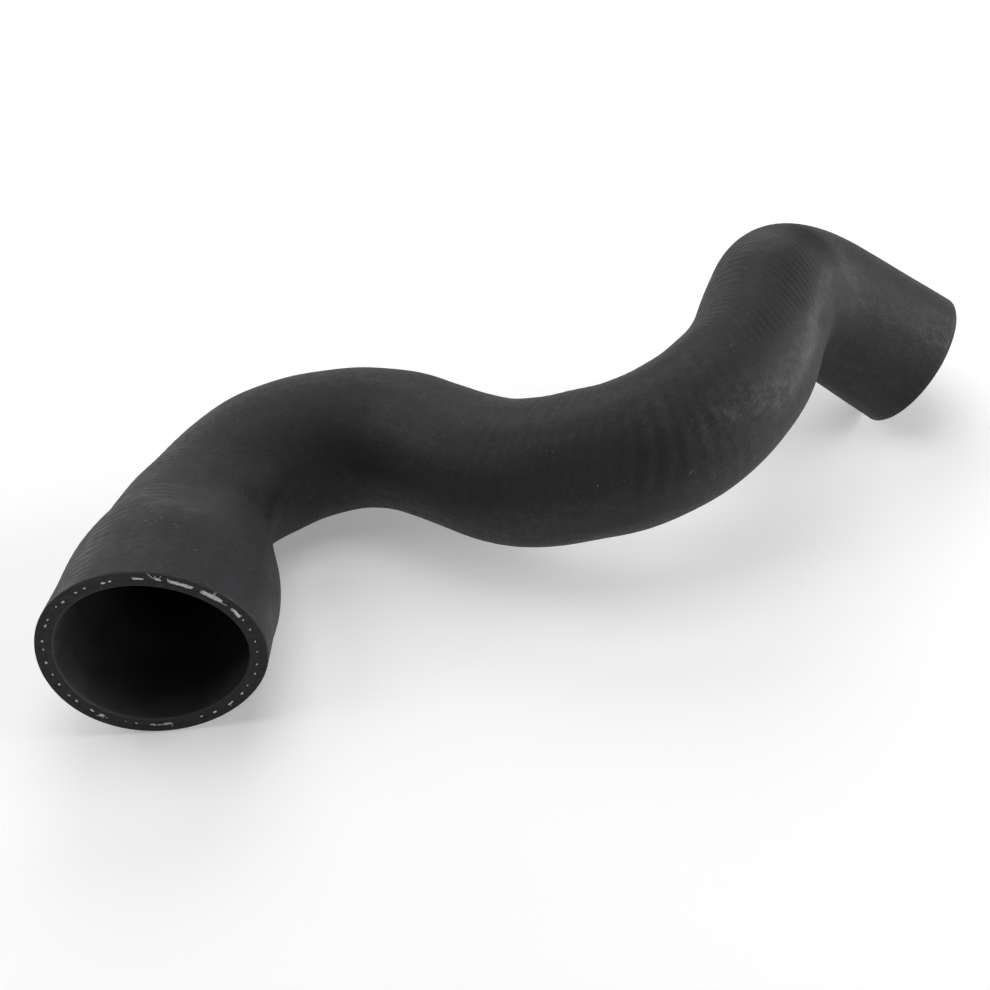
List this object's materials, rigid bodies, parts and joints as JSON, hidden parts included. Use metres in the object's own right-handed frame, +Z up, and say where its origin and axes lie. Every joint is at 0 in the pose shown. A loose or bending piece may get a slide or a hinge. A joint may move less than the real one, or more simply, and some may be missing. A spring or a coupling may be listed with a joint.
{
  "type": "charge air hose",
  "caption": "Moulded rubber air hose with a wide cuff at one end, a winding body and a tight bend before its narrow end.",
  "frame": {"origin": "on the floor under the middle of the hose's box, as it lies at rest", "axes": "+X from the wide mouth's side to the narrow end's side, +Y away from a viewer who looks into the wide mouth, +Z up"},
  "size_m": [0.3178, 0.1648, 0.0879],
  "materials": {
    "rubber": "matte black rubber with a fine wrapped texture"
  },
  "bodies": {
    "root": {"hose": "rubber"}
  },
  "joints": []
}
